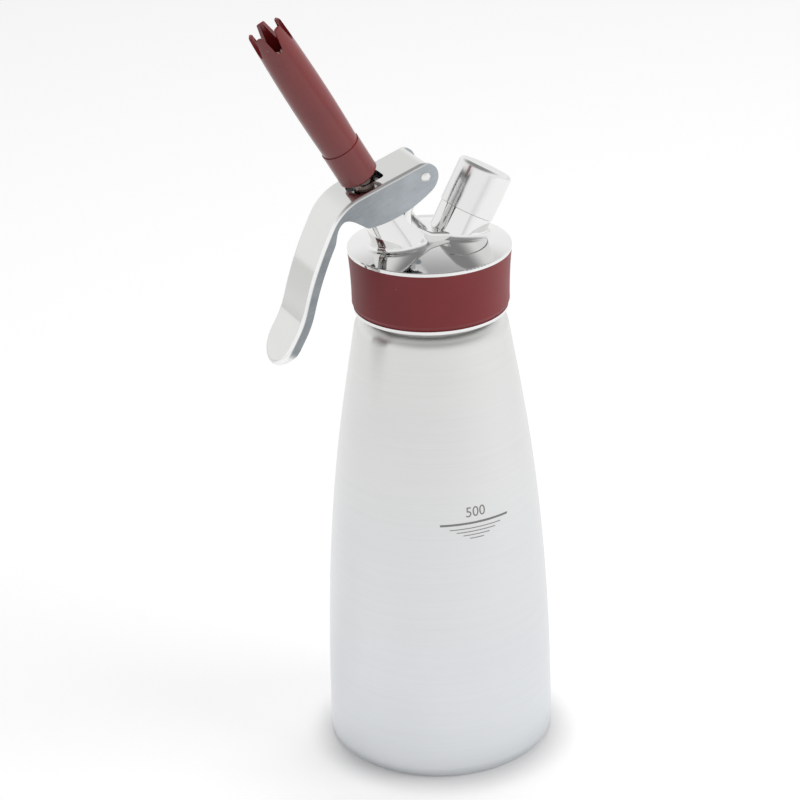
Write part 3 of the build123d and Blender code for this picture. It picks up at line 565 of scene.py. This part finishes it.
# ---------------------------------------------------------------- studio
CAMERA_STAND = (-388.03, -832.14, 547.35)  # mm
CAMERA_AIM = (0.3744, 0.8308, -0.4118)
CAMERA_RIGHT = (0.90598, -0.42235, -0.02827)
CAMERA_LENS = 127.433  # mm
CAMERA_SENSOR = 36.0  # mm
# Places and sizes of table and lamps, in metres
FLOOR_HALF = 6.0
KEY_STAND = (0.1, 0.2, 1.8)
KEY_SIZE = 0.5
FILL_STAND = (1.2, -1.0, 1.1)
FILL_SIZE = 1.2
LAMP_AIM = (0.0, 0.0, 0.12)
# The table's glow: its share under the foot, what comes on top outside the foot's shade, and
# what comes on top of both far out. The glow is weaker round the foot, which paints a shadow
# there on top of the lamps' own. The edges are distances from the axis, in metres.
FOOT_GLOW = 0.35
CLEAR_GLOW = 0.65
FAR_GLOW = 0.3
SHADE_EDGE = (0.038, 0.053)
SHADE_SHIFT = 0.003  # of the foot's shade to the front
GLOW_RISE = (0.3, 3.0)
# The studio's ceiling: where it starts and is full, as the sine of the angle above the table,
# and its level of light, where 1 is white.
CEILING_RISE = (0.35, 0.9)
CEILING_LEVEL = 0.3


def background_rays(tree):
    """1 for rays that show the background: the camera's, off metal and through clear pieces."""
    seen = tree.add("ShaderNodeLightPath", output="Is Camera Ray")
    mirrored = tree.add("ShaderNodeLightPath", output="Is Glossy Ray")
    passed = tree.add("ShaderNodeLightPath", output="Is Transmission Ray")
    return seen.maths("MAXIMUM", mirrored).maths("MAXIMUM", passed)


def lay_floor(stage):
    """A pale table that keeps the shadow and looks the same to the camera and in metal."""
    corners = [
        (-FLOOR_HALF, -FLOOR_HALF, 0),
        (FLOOR_HALF, -FLOOR_HALF, 0),
        (FLOOR_HALF, FLOOR_HALF, 0),
        (-FLOOR_HALF, FLOOR_HALF, 0),
    ]
    mesh = bpy.data.meshes.new("floor")
    mesh.from_pydata(corners, [], [(0, 1, 2, 3)])
    floor = new_object("floor", mesh)
    finish, tree = new_finish("floor_white")
    paint = tree.add("ShaderNodeBsdfDiffuse", None, {"Color": colour(stage.floor_tone)})
    east, north, _ = tree.parts(tree.place())
    out = (east * east + north * north) ** 0.5
    # Painted shadow: the glow is weaker round the foot, and its middle lies a little to the front.
    clear = (east * east + (north + SHADE_SHIFT) ** 2) ** 0.5
    glow_share_with_painted_shadow = clear.within(*SHADE_EDGE) * CLEAR_GLOW + out.within(*GLOW_RISE) * FAR_GLOW + FOOT_GLOW
    strength = background_rays(tree) * glow_share_with_painted_shadow * stage.floor_glow
    white = {"Color": colour((1.0, 1.0, 1.0)), "Strength": strength}
    glow = tree.add("ShaderNodeEmission", None, white)
    tree.surface(tree.add("ShaderNodeAddShader", None, {0: paint, 1: glow}))
    mesh.materials.append(finish)


def hang_studio(stage):
    """White walls and a grey ceiling for background, and plain soft light from all round."""
    world = bpy.data.worlds.new("studio")
    bpy.context.scene.world = world
    world.use_nodes = True
    tree = Tree(world.node_tree)
    height = tree.parts(tree.place("Generated"))[2]
    grey = colour((1.0, 1.0, 1.0), CEILING_LEVEL)
    tone = tree.mix(height.within(*CEILING_RISE), colour((1.0, 1.0, 1.0)), grey)
    room = {"Color": colour((1.0, 1.0, 1.0)), "Strength": stage.room_light}
    soft = tree.add("ShaderNodeBackground", None, room)
    backdrop = tree.add("ShaderNodeBackground", None, {"Color": tone, "Strength": 1.0})
    mixed = {0: background_rays(tree), 1: soft, 2: backdrop}
    light = tree.add("ShaderNodeMixShader", None, mixed)
    tree.add("ShaderNodeOutputWorld", None, {"Surface": light})


def hang_lamp(name, place, size, power):
    """A square soft lamp that lights plain surfaces and is not mirrored."""
    data = bpy.data.lights.new(name, "AREA")
    data.size = size
    data.energy = power
    lamp = new_object(name, data)
    lamp.location = place
    aim = Vector(LAMP_AIM) - Vector(place)
    lamp.rotation_euler = aim.to_track_quat("-Z", "Y").to_euler()
    lamp.visible_glossy = False
    lamp.visible_camera = False


def set_camera():
    """The camera, from above and in front on the left."""
    data = bpy.data.cameras.new("camera")
    data.sensor_width = CAMERA_SENSOR
    data.lens = CAMERA_LENS
    data.clip_end = 100.0
    camera = new_object("camera", data)
    forward = Vector(CAMERA_AIM).normalized()
    right = Vector(CAMERA_RIGHT)
    right = (right - forward * right.dot(forward)).normalized()
    turn = Matrix((right, right.cross(forward), -forward)).transposed()
    camera.matrix_world = Matrix.Translation(Vector(CAMERA_STAND) * MM) @ turn.to_4x4()
    bpy.context.scene.camera = camera


# ---------------------------------------------------------------- operators
class WHIPPER_OT_dress_bottle(bpy.types.Operator):
    """Gives the bottle its brushed steel"""

    bl_idname = "whipper.dress_bottle"
    bl_label = "Dress Bottle"

    def execute(self, context):
        dress(brushed_steel(context.scene.whipper_metal), "bottle")
        return {"FINISHED"}


class WHIPPER_OT_etch_scale(bpy.types.Operator):
    """Wraps the fill scale, its lines and plain figures, round the bottle"""

    bl_idname = "whipper.etch_scale"
    bl_label = "Etch Fill Scale"

    def execute(self, context):
        scale = context.scene.whipper_scale
        piece = wrap_scale(scale)
        piece.data.materials.append(etched_steel(scale))
        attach(piece, "bottle")
        return {"FINISHED"}


class WHIPPER_OT_dress_head(bpy.types.Operator):
    """Gives the head and the charger cap their mirror chrome"""

    bl_idname = "whipper.dress_head"
    bl_label = "Dress Head and Cap"

    def execute(self, context):
        metal = context.scene.whipper_metal
        tone = metal.chrome_tone
        head = polished_chrome("head_chrome", tone, metal.chrome_roughness, 0.000016)
        dress(head, "head_body")
        cap = polished_chrome("cap_chrome", tone, metal.cap_roughness, 0.000008)
        dress(cap, "charger_cap")
        return {"FINISHED"}


class WHIPPER_OT_dress_lever(bpy.types.Operator):
    """Gives the lever its polished front and satin cheeks, and its pin"""

    bl_idname = "whipper.dress_lever"
    bl_label = "Dress Lever"

    def execute(self, context):
        metal = context.scene.whipper_metal
        dress(lever_steel(metal), "lever")
        pin = turned_steel("pin_steel", metal.pin_tone, (0.0, 1.0, 0.0), 0.42)
        dress(pin, "lever_pin")
        return {"FINISHED"}


class WHIPPER_OT_dress_red_pieces(bpy.types.Operator):
    """Gives the grip band its silicone and the decorator tip its plastic"""

    bl_idname = "whipper.dress_red_pieces"
    bl_label = "Dress Band and Tip"

    def execute(self, context):
        red = context.scene.whipper_red
        band = moulded_red("red_silicone", red.band_tone, red.band_roughness, 0.46, 0.00002)
        dress(band, "grip_band")
        tip = moulded_red("red_plastic", red.tip_tone, red.tip_roughness, 0.68, 0.000026)
        dress(tip, "decorator_tip")
        return {"FINISHED"}


class WHIPPER_OT_dress_valve(bpy.types.Operator):
    """Gives the valve and the charger socket's metal their turned steel"""

    bl_idname = "whipper.dress_valve"
    bl_label = "Dress Valve and Socket"

    def execute(self, context):
        metal = context.scene.whipper_metal
        tone = metal.turned_tone
        valve = ("valve_seal_plate", "valve_nut", "tip_thread_insert")
        dress(turned_steel("valve_steel", tone, VALVE_WAY), *valve)
        # Painted shade: stem and collar get a dark tone for the shade under the tip.
        stem = turned_steel("stem_steel_painted_shade", metal.stem_painted_shade_tone, VALVE_WAY)
        dress(stem, "valve_stem", "valve_collar")
        dress(turned_steel("socket_steel", tone, SOCKET_WAY), "piercing_pin")
        dress(turned_steel("cover_steel", tone, (0.0, 0.0, 1.0)), "check_valve_cover")
        wire = tuple(part * 0.85 for part in tone)
        dress(turned_steel("spring_wire", wire, (0.0, 1.0, 0.0)), "valve_spring")
        dress(sintered_bronze(context.scene.whipper_seals.bronze_tone), "gas_filter")
        return {"FINISHED"}


class WHIPPER_OT_dress_seals(bpy.types.Operator):
    """Gives seals and liners their rubber and white plastic"""

    bl_idname = "whipper.dress_seals"
    bl_label = "Dress Seals and Liners"

    def execute(self, context):
        soft = context.scene.whipper_seals
        rubber = moulded("seal_rubber", soft.rubber_tone, 0.48, 0.00002)
        dress(rubber, "head_gasket", "stem_o_ring", "valve_seal", "charger_seal", "check_valve")
        white = moulded("white_plastic", soft.white_tone, 0.36, 0.00001)
        dress(white, "valve_guide", "cap_liner")
        return {"FINISHED"}


class WHIPPER_OT_set_stage(bpy.types.Operator):
    """Sets the camera, the table, the studio light and the lamps"""

    bl_idname = "whipper.set_stage"
    bl_label = "Set Stage"

    def execute(self, context):
        stage = context.scene.whipper_stage
        set_camera()
        lay_floor(stage)
        hang_studio(stage)
        hang_lamp("key", KEY_STAND, KEY_SIZE, stage.key_power)
        hang_lamp("fill", FILL_STAND, FILL_SIZE, stage.fill_power)
        context.scene.view_settings.view_transform = "Standard"
        return {"FINISHED"}


OPERATORS = (
    WHIPPER_OT_dress_bottle,
    WHIPPER_OT_etch_scale,
    WHIPPER_OT_dress_head,
    WHIPPER_OT_dress_lever,
    WHIPPER_OT_dress_red_pieces,
    WHIPPER_OT_dress_valve,
    WHIPPER_OT_dress_seals,
    WHIPPER_OT_set_stage,
)
SETTINGS = {
    "whipper_metal": WhipperMetal,
    "whipper_red": WhipperRed,
    "whipper_seals": WhipperSeals,
    "whipper_scale": WhipperScale,
    "whipper_stage": WhipperStage,
}


class WHIPPER_PT_dressing(bpy.types.Panel):
    """Steps and settings of the cream whipper's dressing"""

    bl_idname = "WHIPPER_PT_dressing"
    bl_label = "Cream Whipper"
    bl_space_type = "VIEW_3D"
    bl_region_type = "UI"
    bl_category = "Whipper"

    def draw(self, context):
        layout = self.layout
        for operator in OPERATORS:
            layout.operator(operator.bl_idname)
        for name, group in SETTINGS.items():
            box = layout.box()
            settings = getattr(context.scene, name)
            for setting in group.__annotations__:
                box.prop(settings, setting)


CLASSES = (*SETTINGS.values(), *OPERATORS, WHIPPER_PT_dressing)


def register():
    for cls in CLASSES:
        bpy.utils.register_class(cls)
    for name, group in SETTINGS.items():
        setattr(bpy.types.Scene, name, PointerProperty(type=group))


def unregister():
    for name in SETTINGS:
        delattr(bpy.types.Scene, name)
    for cls in reversed(CLASSES):
        bpy.utils.unregister_class(cls)


def main():
    register()
    for operator in OPERATORS:
        step = operator.bl_idname.partition(".")[2]
        getattr(bpy.ops.whipper, step)()


if __name__ == "__main__":
    main()
